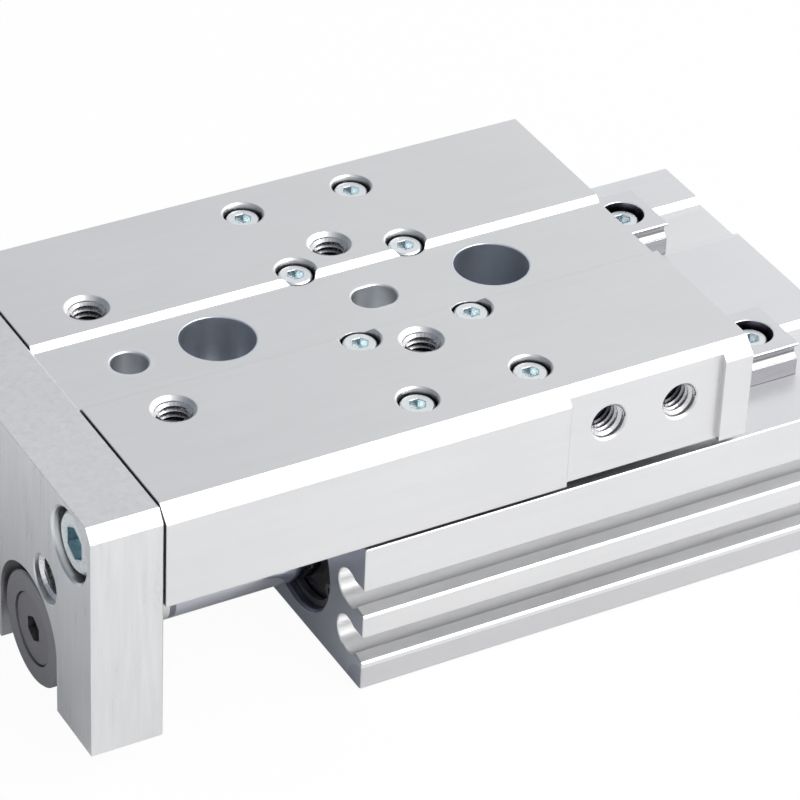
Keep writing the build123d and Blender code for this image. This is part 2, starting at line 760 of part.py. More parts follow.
# Pieces that are alike on both cylinders share a node
with BuildPart() as rod_washers:
    for side in sides.values():
        ring(boss_end_x, washer_thickness, washer_diameter, m5_thread + 4 * seat_clearance, side)
finish(rod_washers, "rod_washers")

m5_rod_screw = cap_screw(m5_thread, m5_head, m5_head_height, m5_key, rod_screw_length, 0.2)
with BuildPart() as rod_screws:
    for side in sides.values():
        seat = (disc_face_x + rod_head_sink + m5_head_height, side * bore_spacing / 2, axis_height)
        with Locations(Location(seat, facing_front)):
            add(m5_rod_screw)
finish(rod_screws, "rod_screws")

with BuildPart() as rod_wipers:
    for side in sides.values():
        inner = rod_diameter + 2 * running_clearance
        ring(cover_x, wiper_length - 0.1, wiper_diameter - 2 * seat_clearance, inner, side)
finish(rod_wipers, "rod_wipers")

with BuildPart() as front_bumpers:
    for side in sides.values():
        ring(cover_end_x, bumper_thickness, nose_diameter, bumper_inside, side)
finish(front_bumpers, "front_bumpers")

with BuildPart() as rear_bumpers:
    for side in sides.values():
        ring(cap_x - bumper_thickness, bumper_thickness, nose_diameter, bumper_inside, side)
finish(rear_bumpers, "rear_bumpers")

with BuildPart() as piston_seals:
    for side in sides.values():
        outer = bore_diameter - 2 * running_clearance
        ring(front_seal_x + 0.05, seal_length - 0.1, outer, seal_groove + 2 * seat_clearance, side)
finish(piston_seals, "piston_seals")

with BuildPart() as piston_magnets:
    for side in sides.values():
        outer = piston_diameter - 0.4
        ring(magnet_x + 0.05, magnet_length - 0.1, outer, magnet_groove + 2 * seat_clearance, side)
finish(piston_magnets, "piston_magnets")

with BuildPart() as wear_rings:
    for side in sides.values():
        outer = bore_diameter - 2 * running_clearance
        ring(wear_ring_x + 0.05, wear_length - 0.1, outer, wear_groove + 2 * seat_clearance, side)
finish(wear_rings, "wear_rings")

with BuildPart() as piston_nuts:
    for side in sides.values():
        with BuildSketch(Plane.YZ.offset(piston_rear_x - nut_height - 0.35)):
            with Locations((side * bore_spacing / 2, axis_height)):
                RegularPolygon(nut_across_flats / 2 * hex_ratio, 6)
                Circle(rod_stud_diameter / 2 + seat_clearance, mode=Mode.SUBTRACT)
        extrude(amount=nut_height)
finish(piston_nuts, "piston_nuts")

with BuildPart() as o_rings:
    cord_middle = bore_diameter / 2 - cord_diameter / 2 - 0.02
    for side in sides.values():
        for cord_x in (cover_cord_x, *cap_cord_xs):
            with BuildSketch(Plane.XY.offset(axis_height)):
                with Locations((cord_x, side * bore_spacing / 2 + cord_middle)):
                    Circle(cord_diameter / 2 - 0.04)
            axis = Axis((cord_x, side * bore_spacing / 2, axis_height), (1, 0, 0))
            revolve(axis=axis)
finish(o_rings, "o_rings")


# Retaining ring: an open ring with a lug and a plier hole at each end
def retaining_ring(start_x, side):
    bore_y = side * bore_spacing / 2
    outer = recess_diameter / 2 + ring_groove_depth - seat_clearance
    lug_distance = outer - ring_width - 0.2
    with BuildSketch(Plane.YZ.offset(start_x)) as section:
        with Locations((bore_y, axis_height)):
            Circle(outer)
            Circle(outer - ring_width, mode=Mode.SUBTRACT)
        half_gap = math.radians(ring_opening / 2)
        reach = 2 * outer
        with BuildLine():
            Polyline(
                (bore_y, axis_height),
                (bore_y - reach * math.cos(half_gap), axis_height - reach * math.sin(half_gap)),
                (bore_y - reach * math.cos(half_gap), axis_height + reach * math.sin(half_gap)),
                close=True,
            )
        make_face(mode=Mode.SUBTRACT)
        for turn in (-1, 1):
            angle = half_gap * 1.3 * turn
            lug = (bore_y - lug_distance * math.cos(angle), axis_height + lug_distance * math.sin(angle))
            with Locations(lug):
                Circle(ring_lug_radius)
                Circle(ring_lug_hole, mode=Mode.SUBTRACT)
    extrude(section.sketch, amount=ring_thickness)


with BuildPart() as front_retaining_rings:
    for side in sides.values():
        retaining_ring(front_x + cover_front - 1.2 * ring_thickness, side)
finish(front_retaining_rings, "front_retaining_rings")

with BuildPart() as rear_retaining_rings:
    for side in sides.values():
        retaining_ring(rear_x - rear_recess_depth + cap_flange + 0.4 * ring_thickness, side)
finish(rear_retaining_rings, "rear_retaining_rings")
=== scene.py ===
import math

import bpy
from mathutils import Matrix, Vector


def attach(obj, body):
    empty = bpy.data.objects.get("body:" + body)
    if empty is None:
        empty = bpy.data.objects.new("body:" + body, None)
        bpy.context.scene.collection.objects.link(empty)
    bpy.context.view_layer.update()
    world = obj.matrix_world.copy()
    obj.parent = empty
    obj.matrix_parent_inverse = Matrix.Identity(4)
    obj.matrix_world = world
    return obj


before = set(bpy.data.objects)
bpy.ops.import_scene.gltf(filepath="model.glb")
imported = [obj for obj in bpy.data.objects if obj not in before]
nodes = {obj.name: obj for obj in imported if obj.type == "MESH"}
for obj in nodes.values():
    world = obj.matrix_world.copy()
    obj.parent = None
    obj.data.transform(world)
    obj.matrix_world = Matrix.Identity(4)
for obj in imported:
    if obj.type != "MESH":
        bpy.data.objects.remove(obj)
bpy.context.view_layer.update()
mm = 0.001


# small helpers

def deselectAll():
    if bpy.context.object and bpy.context.object.mode != "OBJECT":
        bpy.ops.object.mode_set(mode="OBJECT")
    bpy.ops.object.select_all(action="DESELECT")


def addNode(tree, kind, place, **settings):
    node = tree.nodes.new(kind)
    node.location = place
    for key, value in settings.items():
        if key in node.inputs:
            node.inputs[key].default_value = value
        else:
            setattr(node, key, value)
    return node


def newMaterial(name):
    material = bpy.data.materials.new(name)
    material.use_nodes = True
    tree = material.node_tree
    shader = tree.nodes["Principled BSDF"]
    return material, tree, shader


def patternPlace(tree, stretch, centre=(0, 0, 0)):
    # object coordinates round a centre, stretched along the grain
    coords = addNode(tree, "ShaderNodeTexCoord", (-1400, 0))
    mapping = addNode(tree, "ShaderNodeMapping", (-1200, 0))
    mapping.inputs["Scale"].default_value = stretch
    mapping.inputs["Location"].default_value = [-c * s for c, s in zip(centre, stretch)]
    tree.links.new(coords.outputs["Object"], mapping.inputs["Vector"])
    return mapping.outputs["Vector"]


def rampBetween(tree, source, low, high, place, start=0.3, end=0.7):
    ramp = addNode(tree, "ShaderNodeValToRGB", place)
    ramp.color_ramp.elements[0].position = start
    ramp.color_ramp.elements[1].position = end
    ramp.color_ramp.elements[0].color = (*low, 1)
    ramp.color_ramp.elements[1].color = (*high, 1)
    tree.links.new(source, ramp.inputs["Fac"])
    return ramp.outputs["Color"]


def multiplied(tree, colour, factor, place):
    toned = addNode(tree, "ShaderNodeMix", place, data_type="RGBA", blend_type="MULTIPLY")
    toned.inputs["Factor"].default_value = 1.0
    tree.links.new(colour, toned.inputs["A"])
    tree.links.new(factor, toned.inputs["B"])
    return toned.outputs["Result"]


# what the finishes share: each has a pattern that sets its colour, its roughness and a fine bump

pattern = {
    "cloudScale": 35.0,
    "cloudShade": 0.97,
    "grainRelief": 0.04 * mm,
    "turnedRelief": 0.03 * mm,
    "mouldedRelief": 0.05 * mm,
    "mouldedSpread": 0.06,
    "samples": 6,
}
plain = (1, 1, 1)


def patternColour(tree, source, look, place):
    dark = [c * (1 - look["contrast"]) for c in look["colour"]]
    light = [min(1, c * (1 + look["contrast"])) for c in look["colour"]]
    return rampBetween(tree, source, dark, light, place)


def addRoughness(tree, shader, source, middle, spread, place):
    rough = rampBetween(tree, source, (middle - spread,) * 3, (middle + spread,) * 3, place)
    tree.links.new(rough, shader.inputs["Roughness"])


def addBump(tree, shader, source, strength, distance, edge=0):
    bump = addNode(tree, "ShaderNodeBump", (-300, -400), Strength=strength, Distance=distance)
    tree.links.new(source, bump.inputs["Height"])
    if edge:
        # broken edges, which catch the light
        bevel = addNode(tree, "ShaderNodeBevel", (-500, -500), Radius=edge)
        bevel.samples = pattern["samples"]
        tree.links.new(bevel.outputs["Normal"], bump.inputs["Normal"])
    tree.links.new(bump.outputs["Normal"], shader.inputs["Normal"])


# tones: each multiplies a metal's colour where it applies; most of them are painted shade or painted
# light

def facingShadeToned(tree, colour, direction, tone):
    # painted shade: faces that look along one direction are darkened, the body's ends and sides and the
    # rails' sides
    coords = addNode(tree, "ShaderNodeTexCoord", (-900, 600))
    split = addNode(tree, "ShaderNodeSeparateXYZ", (-750, 600))
    tree.links.new(coords.outputs["Normal"], split.inputs[0])
    facing = addNode(tree, "ShaderNodeMath", (-600, 600), operation="ABSOLUTE")
    tree.links.new(split.outputs[direction], facing.inputs[0])
    gate = rampBetween(tree, facing.outputs[0], plain, tone, (-450, 600), 0.8, 0.95)
    return multiplied(tree, colour, gate, (-200, 400))


def insideZone(tree, zone, place):
    # 1 within the radius round an axis through the zone's centre, else 0
    left, top = place
    coords = addNode(tree, "ShaderNodeTexCoord", place)
    offset = addNode(tree, "ShaderNodeVectorMath", (left + 150, top), operation="SUBTRACT")
    offset.inputs[1].default_value = zone["centre"]
    tree.links.new(coords.outputs["Object"], offset.inputs[0])
    across = addNode(tree, "ShaderNodeVectorMath", (left + 300, top), operation="MULTIPLY")
    across.inputs[1].default_value = [0 if axis == zone["axis"] else 1 for axis in "XYZ"]
    tree.links.new(offset.outputs["Vector"], across.inputs[0])
    reach = addNode(tree, "ShaderNodeVectorMath", (left + 450, top), operation="LENGTH")
    tree.links.new(across.outputs["Vector"], reach.inputs[0])
    inside = addNode(tree, "ShaderNodeMath", (left + 600, top), operation="LESS_THAN")
    inside.inputs[1].default_value = zone["radius"]
    tree.links.new(reach.outputs["Value"], inside.inputs[0])
    if "level" not in zone:
        return inside.outputs[0]
    # only the part below or above a height
    height = addNode(tree, "ShaderNodeSeparateXYZ", (left + 450, top + 80))
    tree.links.new(coords.outputs["Object"], height.inputs[0])
    side = addNode(tree, "ShaderNodeMath", (left + 600, top + 80), operation=zone["side"])
    side.inputs[1].default_value = zone["level"]
    tree.links.new(height.outputs["Z"], side.inputs[0])
    both = addNode(tree, "ShaderNodeMath", (left + 750, top), operation="MULTIPLY")
    tree.links.new(inside.outputs[0], both.inputs[0])
    tree.links.new(side.outputs[0], both.inputs[1])
    return both.outputs[0]


# painted light and painted shade, each in a zone round a hole or another feature
def zoneToned(tree, colour, zones):
    for number, zone in enumerate(zones):
        inside = insideZone(tree, zone, (-1400, 1200 + 200 * number))
        gate = rampBetween(tree, inside, plain, zone["tone"], (-600, 1200 + 200 * number))
        colour = multiplied(tree, colour, gate, (-100, 600 + 50 * number))
    return colour


def depthToned(tree, colour, look):
    # the tone falls off along one axis: in the tapped holes it is painted shade, deeper in the hole,
    # and on the washers it darkens them away from the plate's face
    coords = addNode(tree, "ShaderNodeTexCoord", (-900, 750))
    along = addNode(tree, "ShaderNodeVectorMath", (-750, 750), operation="DOT_PRODUCT")
    along.inputs[1].default_value = look["towards"]
    tree.links.new(coords.outputs["Object"], along.inputs[0])
    depth = addNode(tree, "ShaderNodeMapRange", (-600, 750))
    depth.inputs["From Min"].default_value = look["deep"]
    depth.inputs["From Max"].default_value = look["shallow"]
    tree.links.new(along.outputs["Value"], depth.inputs["Value"])
    gate = rampBetween(tree, depth.outputs[0], look["tone"], plain, (-400, 750), 0, 1)
    return multiplied(tree, colour, gate, (-150, 450))


def ringMarkAndSheenToned(tree, colour, markAndSheenBands):
    # rings round a bar that lies along X: a dark turned mark, and a wider lighter band that is a
    # painted reflection
    coords = addNode(tree, "ShaderNodeTexCoord", (-1400, 1600))
    split = addNode(tree, "ShaderNodeSeparateXYZ", (-1250, 1600))
    tree.links.new(coords.outputs["Object"], split.inputs[0])
    for number, band in enumerate(markAndSheenBands):
        height = 1600 + 100 * number
        within = addNode(tree, "ShaderNodeMath", (-1100, height), operation="COMPARE")
        within.inputs[1].default_value = band["centre"]
        within.inputs[2].default_value = band["half"]
        tree.links.new(split.outputs["X"], within.inputs[0])
        gate = rampBetween(tree, within.outputs[0], plain, band["tone"], (-900, height))
        colour = multiplied(tree, colour, gate, (-100, 800 + 50 * number))
    return colour


def paintedShadeInHollows(tree, colour, look, bright):
    # painted shade: holes, threads and narrow gaps are darkened by an ambient-occlusion mask that
    # stands in for the shade in them; the bright zones, such as reamed holes, are left out
    hollowMask = addNode(tree, "ShaderNodeAmbientOcclusion", (-900, 900), Distance=look["reach"])
    hollowMask.samples = pattern["samples"]
    hollowMask.only_local = look["local"]
    openness = hollowMask.outputs["AO"]
    for number, zone in enumerate(bright):
        clear = addNode(tree, "ShaderNodeMath", (-750, 950 + 60 * number), operation="MAXIMUM")
        tree.links.new(openness, clear.inputs[0])
        inside = insideZone(tree, zone, (-1500, 1000 + 60 * number))
        tree.links.new(inside, clear.inputs[1])
        openness = clear.outputs[0]
    gate = rampBetween(tree, openness, look["tone"], plain, (-600, 900), look["from"], look["to"])
    return multiplied(tree, colour, gate, (-100, 500))


# the three kinds of finish

def grainedMetal(name, look):
    # a metal whose colour and roughness vary along a grain, with broad clouds over it
    material, tree, shader = newMaterial(name)
    shader.inputs["Metallic"].default_value = look.get("metallic", 1.0)
    place = patternPlace(tree, look["stretch"])
    grain = addNode(tree, "ShaderNodeTexNoise", (-1000, 100),
                    Scale=look["scale"], Detail=4.0, Roughness=0.6)
    tree.links.new(place, grain.inputs["Vector"])
    cloudPlace = patternPlace(tree, plain)
    cloud = addNode(tree, "ShaderNodeTexNoise", (-1000, -200),
                    Scale=pattern["cloudScale"], Detail=2.0)
    tree.links.new(cloudPlace, cloud.inputs["Vector"])
    fine = patternColour(tree, grain.outputs["Fac"], look, (-700, 200))
    broad = rampBetween(tree, cloud.outputs["Fac"], (pattern["cloudShade"],) * 3, plain, (-700, -100))
    colour = multiplied(tree, fine, broad, (-400, 200))
    if "endShade" in look:
        colour = facingShadeToned(tree, colour, "X", look["endShade"])
    if "sideShade" in look:
        colour = facingShadeToned(tree, colour, "Y", look["sideShade"])
    if "zones" in look:
        colour = zoneToned(tree, colour, look["zones"])
    if "markAndSheenBands" in look:
        colour = ringMarkAndSheenToned(tree, colour, look["markAndSheenBands"])
    if "depth" in look:
        colour = depthToned(tree, colour, look["depth"])
    # painted shade in the hollows
    if "paintedHollowShade" in look:
        colour = paintedShadeInHollows(tree, colour, look["paintedHollowShade"], look.get("bright", ()))
    tree.links.new(colour, shader.inputs["Base Color"])
    addRoughness(tree, shader, grain.outputs["Fac"], look["rough"], look["roughSpread"], (-700, -350))
    addBump(tree, shader, grain.outputs["Fac"], look["bump"], pattern["grainRelief"],
            look.get("edge", 0))
    return material


def turnedMetal(name, look):
    # rings left by a lathe, around an axis along X through the given centre
    material, tree, shader = newMaterial(name)
    shader.inputs["Metallic"].default_value = look.get("metallic", 1.0)
    place = patternPlace(tree, (0, 1, 1), (0, *look["centre"]))
    length = addNode(tree, "ShaderNodeVectorMath", (-1000, 0), operation="LENGTH")
    tree.links.new(place, length.inputs[0])
    wave = addNode(tree, "ShaderNodeMath", (-850, 0), operation="MULTIPLY")
    wave.inputs[1].default_value = look["ringsPerMetre"]
    tree.links.new(length.outputs["Value"], wave.inputs[0])
    noise = addNode(tree, "ShaderNodeTexNoise", (-700, 0),
                    noise_dimensions="1D", Scale=1.0, Detail=3.0)
    tree.links.new(wave.outputs[0], noise.inputs["W"])
    colour = patternColour(tree, noise.outputs["Fac"], look, (-450, 150))
    tree.links.new(colour, shader.inputs["Base Color"])
    addRoughness(tree, shader, noise.outputs["Fac"], look["rough"], look["roughSpread"], (-450, -150))
    addBump(tree, shader, noise.outputs["Fac"], look["bump"], pattern["turnedRelief"])
    return material


def mouldedPlastic(name, look):
    # plastic and rubber with fine specks
    material, tree, shader = newMaterial(name)
    place = patternPlace(tree, plain)
    speck = addNode(tree, "ShaderNodeTexNoise", (-1000, 0), Scale=look["scale"], Detail=3.0)
    tree.links.new(place, speck.inputs["Vector"])
    colour = patternColour(tree, speck.outputs["Fac"], look, (-700, 200))
    tree.links.new(colour, shader.inputs["Base Color"])
    addRoughness(tree, shader, speck.outputs["Fac"], look["rough"], pattern["mouldedSpread"],
                 (-700, -200))
    addBump(tree, shader, speck.outputs["Fac"], look["bump"], pattern["mouldedRelief"])
    return material


def dress(material, *names):
    for name in names:
        for slot in nodes[name].material_slots:
            slot.material = material


# camera: fitted to the photograph's edges

cameraSettings = {
    "place": (-0.301027, -0.472302, 0.405131),
    "right": (0.87463837, -0.48329785, 0.0378274),
    "up": (0.24941612, 0.51553804, 0.81976346),
    "view": (0.41569137, 0.70756181, -0.57145163),
    "lens": 185.52,
    "sensor": 36.0,
    "clipStart": 0.01,
}
deselectAll()
bpy.ops.object.camera_add()
camera = bpy.context.object
camera.name = "camera"
camera.data.lens = cameraSettings["lens"]
camera.data.sensor_width = cameraSettings["sensor"]
camera.data.sensor_fit = "HORIZONTAL"
camera.data.clip_start = cameraSettings["clipStart"]
turn = Matrix((cameraSettings["right"], cameraSettings["up"],
               [-v for v in cameraSettings["view"]])).transposed().to_4x4()
camera.matrix_world = Matrix.Translation(cameraSettings["place"]) @ turn
bpy.context.scene.camera = camera
print("camera placed")

# floor: pale for the light that it throws back, white for the camera

stage = {
    "floorSize": 6.0,
    "floorDrop": 0.0003,
    "floorColour": (0.77, 0.77, 0.77),
    "floorRough": 0.9,
    "floorSheen": 0.1,
    "cameraWhite": 0.96,
    "glossWhite": 0.04,
}
deselectAll()
bpy.ops.mesh.primitive_plane_add(size=stage["floorSize"], location=(0, 0, -stage["floorDrop"]))
floor = bpy.context.object
floor.name = "floor"
floorMaterial, tree, shader = newMaterial("paleFloor")
shader.inputs["Base Color"].default_value = (*stage["floorColour"], 1)
shader.inputs["Roughness"].default_value = stage["floorRough"]
shader.inputs["Specular IOR Level"].default_value = stage["floorSheen"]
white = addNode(tree, "ShaderNodeEmission", (0, -300), Strength=1.0)
rays = addNode(tree, "ShaderNodeLightPath", (-600, 300))
seen = addNode(tree, "ShaderNodeMath", (-400, 300), operation="MULTIPLY")
seen.inputs[1].default_value = stage["cameraWhite"]
tree.links.new(rays.outputs["Is Camera Ray"], seen.inputs[0])
shown = addNode(tree, "ShaderNodeMath", (-400, 100), operation="MAXIMUM")
tree.links.new(rays.outputs["Is Glossy Ray"], shown.inputs[0])
tree.links.new(rays.outputs["Is Transmission Ray"], shown.inputs[1])
gloss = addNode(tree, "ShaderNodeMath", (-200, 100), operation="MULTIPLY_ADD")
gloss.inputs[1].default_value = stage["glossWhite"]
tree.links.new(shown.outputs[0], gloss.inputs[0])
tree.links.new(seen.outputs[0], gloss.inputs[2])
mixer = addNode(tree, "ShaderNodeMixShader", (300, 0))
tree.links.new(gloss.outputs[0], mixer.inputs[0])
tree.links.new(shader.outputs[0], mixer.inputs[1])
tree.links.new(white.outputs[0], mixer.inputs[2])
tree.links.new(mixer.outputs[0], tree.nodes["Material Output"].inputs[0])
floor.data.materials.append(floorMaterial)

# studio sky: falls off across and upwards, cooler where it is dark, plain white where it is bright

studio = {
    "level": 0.88,
    "fall": -0.2,
    "across": (0.62, -0.34, 0.0),
    "dark": 0.25,
    "bright": 1.4,
    "cool": (0.86, 0.975, 1.13),
}
# the vector inputs of the range: 6 takes the value, 7 and 8 its limits, 9 and 10 what they become
rangeValue = 6
rangeLimits = {
    7: (studio["dark"],) * 3,
    8: (studio["bright"],) * 3,
    9: [studio["dark"] * c for c in studio["cool"]],
    10: (studio["bright"],) * 3,
}
world = bpy.data.worlds.new("studio")
bpy.context.scene.world = world
world.use_nodes = True
sky = world.node_tree
background = sky.nodes["Background"]
coords = addNode(sky, "ShaderNodeTexCoord", (-1200, 0))
split = addNode(sky, "ShaderNodeSeparateXYZ", (-1000, 200))
sky.links.new(coords.outputs["Generated"], split.inputs[0])
fall = addNode(sky, "ShaderNodeMath", (-800, 200), operation="MULTIPLY_ADD")
fall.inputs[1].default_value = studio["fall"]
fall.inputs[2].default_value = studio["level"]
sky.links.new(split.outputs["Z"], fall.inputs[0])
across = addNode(sky, "ShaderNodeVectorMath", (-800, 0), operation="DOT_PRODUCT")
across.inputs[1].default_value = studio["across"]
sky.links.new(coords.outputs["Generated"], across.inputs[0])
level = addNode(sky, "ShaderNodeMath", (-600, 100), operation="ADD")
sky.links.new(fall.outputs[0], level.inputs[0])
sky.links.new(across.outputs["Value"], level.inputs[1])
skyRamp = addNode(sky, "ShaderNodeMapRange", (-400, 100))
skyRamp.data_type = "FLOAT_VECTOR"
for number, value in rangeLimits.items():
    skyRamp.inputs[number].default_value = value
sky.links.new(level.outputs[0], skyRamp.inputs[rangeValue])
sky.links.new(skyRamp.outputs[1], background.inputs["Color"])

lamps = {
    "keyLamp": {"from": (0.4157, -0.5715, 0.7076), "power": 6.7, "size": 0.75, "distance": 1.0},
    "fillLamp": {"from": (-0.7, -0.5, 0.5), "power": 0.15, "size": 0.8, "distance": 1.2},
}
for lampName, light in lamps.items():
    direction = Vector(light["from"]).normalized()
    deselectAll()
    bpy.ops.object.light_add(type="AREA", location=direction * light["distance"])
    lamp = bpy.context.object
    lamp.name = lampName
    lamp.data.shape = "SQUARE"
    lamp.data.size = light["size"]
    lamp.data.energy = light["power"]
    lamp.rotation_euler = direction.to_track_quat("Z", "Y").to_euler()
bpy.context.scene.view_settings.view_transform = "Standard"
print("floor and lights set")

# where the holes and screws lie, with the table as photographed

places = {
    "frontThreadX": -0.07215,
    "rearThreadX": -0.02915,
    "topThreadY": 0.01525,
    "accessX": (-0.05695, -0.00775),
    "tableTop": 46.5 * mm,
    "rimLevel": 46.35 * mm,
    "carriageScrewX": (-0.0376, -0.0176),
    "carriageScrewY": (-0.0292, -0.0108, 0.0108, 0.0292),
    "railScrewX": (-0.04325, -0.01875, 0.00575, 0.03025),
    "railRimLevel": 33.2 * mm,
    "railSeat": 25.3 * mm,
    "plateFace": -0.09705,
    "plateThreadY": 0.0224,
    "plateThreadZ": 0.0273,
    "plateScrewZ": 0.0395,
    "axisZ": 0.0131,
    "bodySide": 0.0374,
    "portX": (-0.03225, 0.03775),
    "portZ": 0.0229,
    "bottomThreadX": (-0.02345, 0.02575),
    "sideRecess": -0.03745,
    "sideThreadX": (-0.00775, 0.00525),
    "sideThreadZ": 0.0382,
}
bores = {"near": -0.016, "far": 0.016}
rails = {"near": -0.020, "far": 0.020}
plateScrews = {"near": -0.031, "far": 0.031}
reamedX = (places["frontThreadX"], places["rearThreadX"])


def zonesRound(axis, radius, centres, **settings):
    return [dict(settings, centre=centre, axis=axis, radius=radius) for centre in centres]


def onTable(*placesAlong):
    return [(x, 0, 0) for x in placesAlong]


# zones of the table: walls of the holes below the rim, with painted shade in the access holes and
# painted light in the reamed ones, and the rims themselves, with a painted highlight

wall = {"level": places["rimLevel"], "side": "LESS_THAN"}
# painted highlight on the rims of the holes
rimHighlight = {"level": places["rimLevel"], "side": "GREATER_THAN", "tone": (1.25, 1.25, 1.25)}
# painted shade: the access holes' walls cooler; painted light: the reamed holes' walls a little lighter
accessHoleShade = zonesRound("Z", 6.5 * mm, onTable(*places["accessX"]), tone=(0.92, 0.97, 1.04), **wall)
reamedHoleLight = zonesRound("Z", 4.0 * mm, onTable(*reamedX), tone=(1.02, 1.04, 1.06), **wall)
rimHighlights = zonesRound("Z", 6.42 * mm, onTable(*places["accessX"]), **rimHighlight)
rimHighlights += zonesRound("Z", 3.35 * mm, onTable(places["frontThreadX"]), **rimHighlight)
rimHighlights += zonesRound("Z", 3.9 * mm, onTable(places["rearThreadX"]), **rimHighlight)

# zones of the other solids: painted shade in the cylinders' mouths, on the lower lands, in the rail
# counterbores and in the screw sockets, painted light on the rail seats; the plate's thread mouths are
# only kept free of painted shade

plateMouths = zonesRound("X", 5.2 * mm, [(0, side * places["plateThreadY"], places["plateThreadZ"])
                                         for side in (-1, 1)])
# painted shade in the mouths of the cylinder bores
boreMouthShade = zonesRound("X", 10.45 * mm, [(0, y, places["axisZ"]) for y in bores.values()],
                            tone=(0.30, 0.31, 0.40))
# painted shade on the lower lands of the body's sides
lowerLandShade = zonesRound("X", 4.3 * mm, [(0, side * places["bodySide"], 0) for side in (-1, 1)],
                        tone=(0.80, 0.80, 0.81))
# painted light on the floors of the rail seats
seatFloorLight = zonesRound("X", 7.0 * mm, [(0, y, places["railSeat"]) for y in rails.values()],
                        tone=(1.045, 1.04, 1.035))
# painted shade in the rail screws' counterbores
railBoreShade = zonesRound("Z", 3.7 * mm, [(x, y, 0) for x in places["railScrewX"] for y in rails.values()],
                       level=places["railRimLevel"], side="LESS_THAN", tone=(0.16, 0.15, 0.20))
# painted shade in the sockets of the screw heads
smallSocketShade = zonesRound("Z", 1.5 * mm, [(x, y, 0) for x in places["carriageScrewX"]
                                          for y in places["carriageScrewY"]],
                          tone=(0.92, 0.94, 0.95))
smallSocketShade += zonesRound("Z", 1.5 * mm, [(places["railScrewX"][-1], y, 0) for y in rails.values()],
                           tone=(0.84, 0.85, 0.87))
largeSocketShade = zonesRound("X", 2.9 * mm, [(0, y, places["plateScrewZ"]) for y in plateScrews.values()],
                          tone=(0.74, 0.87, 0.91))

# finishes of the solids

# painted shade in holes, threads and narrow gaps, from an ambient-occlusion mask
hollowShadeLook = {"local": True, "reach": 5.0 * mm, "from": 0.12, "to": 0.5, "tone": (0.13, 0.13, 0.17)}
finishes = {
    "tableAnodised": {
        "colour": (0.805, 0.80, 0.80), "contrast": 0.012, "stretch": (0.06, 1, 1), "scale": 900.0,
        "rough": 0.36, "roughSpread": 0.04, "bump": 0.12, "edge": 0.3 * mm,
        "paintedHollowShade": dict(hollowShadeLook, local=False, to=0.58),
        "zones": accessHoleShade + reamedHoleLight + rimHighlights, "bright": reamedHoleLight},
    "plateBrushed": {
        "colour": (0.805, 0.805, 0.81), "contrast": 0.045, "stretch": (1, 1, 0.07), "scale": 1100.0,
        "rough": 0.33, "roughSpread": 0.07, "bump": 0.3, "edge": 0.15 * mm,
        "paintedHollowShade": hollowShadeLook, "bright": plateMouths},
    "bodyAnodised": {
        "colour": (0.845, 0.845, 0.85), "contrast": 0.01, "stretch": (0.04, 1, 1), "scale": 800.0,
        "rough": 0.38, "roughSpread": 0.04, "bump": 0.1, "edge": 0.12 * mm,
        # painted shade: the body's ends darker and cooler, its sides a little darker
        "endShade": (0.60, 0.63, 0.70), "sideShade": (0.955, 0.95, 0.945),
        "paintedHollowShade": hollowShadeLook, "zones": seatFloorLight + boreMouthShade + lowerLandShade},
    "groundSteel": {
        "colour": (0.62, 0.61, 0.60), "contrast": 0.05, "stretch": (0.05, 1, 1), "scale": 2200.0,
        "rough": 0.30, "roughSpread": 0.07, "bump": 0.3},
    "railSteel": {
        "colour": (0.80, 0.80, 0.81), "contrast": 0.015, "stretch": (0.05, 1, 1), "scale": 1500.0,
        "rough": 0.34, "roughSpread": 0.05, "bump": 0.15, "edge": 0.12 * mm,
        # painted shade: the rails' sides much darker, dimming the lamp's reflection in them
        "sideShade": (0.20, 0.20, 0.21), "paintedHollowShade": hollowShadeLook, "zones": railBoreShade},
    "zincPlate": {
        "colour": (0.92, 0.945, 0.955), "contrast": 0.05, "stretch": plain, "scale": 1500.0,
        "rough": 0.30, "roughSpread": 0.06, "bump": 0.15, "edge": 0.25 * mm,
        "zones": smallSocketShade + largeSocketShade,
        # painted shade in the sockets and round the heads
        "paintedHollowShade": {"local": True, "reach": 2.0 * mm, "from": 0.15, "to": 0.7,
                    "tone": (0.45, 0.55, 0.57)}},
    "rodChrome": {
        "colour": (0.60, 0.61, 0.67), "contrast": 0.02, "stretch": (0.2, 1, 1), "scale": 2500.0,
        "rough": 0.12, "roughSpread": 0.03, "bump": 0.05,
        # a dark turned mark, then a painted reflection as a lighter band next to the plate
        "markAndSheenBands": [{"centre": -0.07455, "half": 0.55 * mm, "tone": (0.4, 0.4, 0.42)},
                  {"centre": -0.0785, "half": 3.4 * mm, "tone": (1.35, 1.33, 1.2)}]},
    "ballSteel": {
        "colour": (0.80, 0.80, 0.82), "contrast": 0.01, "stretch": plain, "scale": 900.0,
        "rough": 0.06, "roughSpread": 0.02, "bump": 0.02},
    "blackSteel": {
        "colour": (0.12, 0.12, 0.13), "contrast": 0.1, "stretch": plain, "scale": 1800.0,
        "rough": 0.38, "roughSpread": 0.06, "bump": 0.2, "metallic": 0.7},
    "washerSteel": {
        "colour": (0.80, 0.80, 0.78), "contrast": 0.06, "stretch": plain, "scale": 1500.0,
        "rough": 0.4, "roughSpread": 0.08, "bump": 0.3,
        "depth": {"towards": (-1, 0, 0), "deep": 0.08415, "shallow": 0.08435,
                  "tone": (0.3, 0.3, 0.33)}},
    "discScrewSteel": {
        "colour": (0.29, 0.28, 0.29), "contrast": 0.15, "stretch": plain, "scale": 900.0,
        "rough": 0.36, "roughSpread": 0.08, "bump": 0.4, "metallic": 0.9,
        # painted shade in the hollows of the screw
        "paintedHollowShade": {"local": True, "reach": 3.0 * mm, "from": 0.2, "to": 0.75,
                    "tone": (0.08, 0.07, 0.07)}},
}
